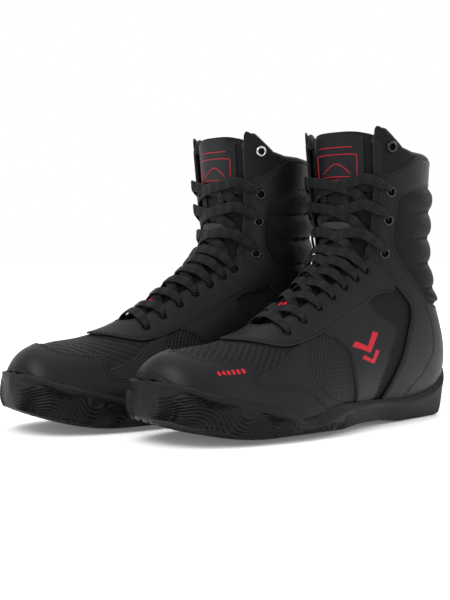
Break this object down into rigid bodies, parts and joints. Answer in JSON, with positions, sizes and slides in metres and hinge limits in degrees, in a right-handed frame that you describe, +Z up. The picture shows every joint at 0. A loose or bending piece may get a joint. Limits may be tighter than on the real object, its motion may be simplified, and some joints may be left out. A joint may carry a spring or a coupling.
{
  "type": "boxing boots",
  "caption": "Pair of high lace-up boxing boots with mesh and smooth overlay panels, a ribbed cup outsole, a padded tongue and ribbed rolls behind the ankle.",
  "frame": {"origin": "middle of the pair's bounding box at floor level", "axes": "-Y towards the toes, +X towards the left boot, +Z up"},
  "size_m": [0.2222, 0.3506, 0.2343],
  "materials": {
    "outsole": "moulded matte",
    "midsole": "matte foam",
    "insole_board": "matte",
    "footbed": "matte",
    "stiffener": "matte",
    "lining": "brushed matte",
    "mesh": "woven",
    "synthetic": "fine grain satin",
    "eyelet_metal": "gloss",
    "tongue_mesh": "woven",
    "label": "satin",
    "webbing": "ribbed",
    "lace": "ribbed",
    "aglet": "gloss"
  },
  "bodies": {
    "left_boot": {"left_outsole": "outsole", "left_midsole": "midsole", "left_insole_board": "insole_board", "left_footbed": "footbed", "left_toe_puff": "stiffener", "left_heel_stiffener": "stiffener", "left_lining": "lining", "left_vamp": "mesh", "left_toe_cap": "synthetic", "left_quarter_lateral": "mesh", "left_quarter_medial": "mesh", "left_saddle_lateral": "synthetic", "left_saddle_medial": "synthetic", "left_eyestay_lateral": "synthetic", "left_eyestay_medial": "synthetic", "left_facing_lateral": "synthetic", "left_facing_medial": "synthetic", "left_heel_strap_lateral": "synthetic", "left_heel_strap_medial": "synthetic", "left_heel_cap": "synthetic", "left_flex_rolls": "mesh", "left_collar_corners": "mesh", "left_eyelets": "eyelet_metal", "left_tongue_base": "tongue_mesh", "left_lace_keeper": "webbing", "left_lace": "lace", "left_aglets": "aglet"},
    "left_tongue": {"left_tongue_top": "tongue_mesh", "left_tongue_label": "label"},
    "left_tab": {"left_pull_tab": "webbing"},
    "right_boot": {"right_outsole": "outsole", "right_midsole": "midsole", "right_insole_board": "insole_board", "right_footbed": "footbed", "right_toe_puff": "stiffener", "right_heel_stiffener": "stiffener", "right_lining": "lining", "right_vamp": "mesh", "right_toe_cap": "synthetic", "right_quarter_lateral": "mesh", "right_quarter_medial": "mesh", "right_saddle_lateral": "synthetic", "right_saddle_medial": "synthetic", "right_eyestay_lateral": "synthetic", "right_eyestay_medial": "synthetic", "right_facing_lateral": "synthetic", "right_facing_medial": "synthetic", "right_heel_strap_lateral": "synthetic", "right_heel_strap_medial": "synthetic", "right_heel_cap": "synthetic", "right_flex_rolls": "mesh", "right_collar_corners": "mesh", "right_eyelets": "eyelet_metal", "right_tongue_base": "tongue_mesh", "right_lace_keeper": "webbing", "right_lace": "lace", "right_aglets": "aglet"},
    "right_tongue": {"right_tongue_top": "tongue_mesh", "right_tongue_label": "label"},
    "right_tab": {"right_pull_tab": "webbing"}
  },
  "joints": [
    {"name": "pair_apart", "type": "slide", "parent": "left_boot", "child": "right_boot", "axis": [-1, 0, 0], "range_m": [0, 0.15]},
    {"name": "left_tongue_fold", "type": "hinge", "parent": "left_boot", "child": "left_tongue", "pos_m": [0.04698, 0.07928, 0.142], "axis": [0.998, 0.0628, 0], "range_deg": [-12, 0]},
    {"name": "left_tab_flip", "type": "hinge", "parent": "left_boot", "child": "left_tab", "pos_m": [0.0427, 0.14732, 0.2011], "axis": [0.998, 0.0628, 0], "range_deg": [-35, 35]},
    {"name": "right_tongue_fold", "type": "hinge", "parent": "right_boot", "child": "right_tongue", "pos_m": [-0.04698, 0.03478, 0.142], "axis": [0.998, -0.0628, 0], "range_deg": [-12, 0]},
    {"name": "right_tab_flip", "type": "hinge", "parent": "right_boot", "child": "right_tab", "pos_m": [-0.0427, 0.10282, 0.2011], "axis": [0.998, -0.0628, 0], "range_deg": [-35, 35]}
  ]
}
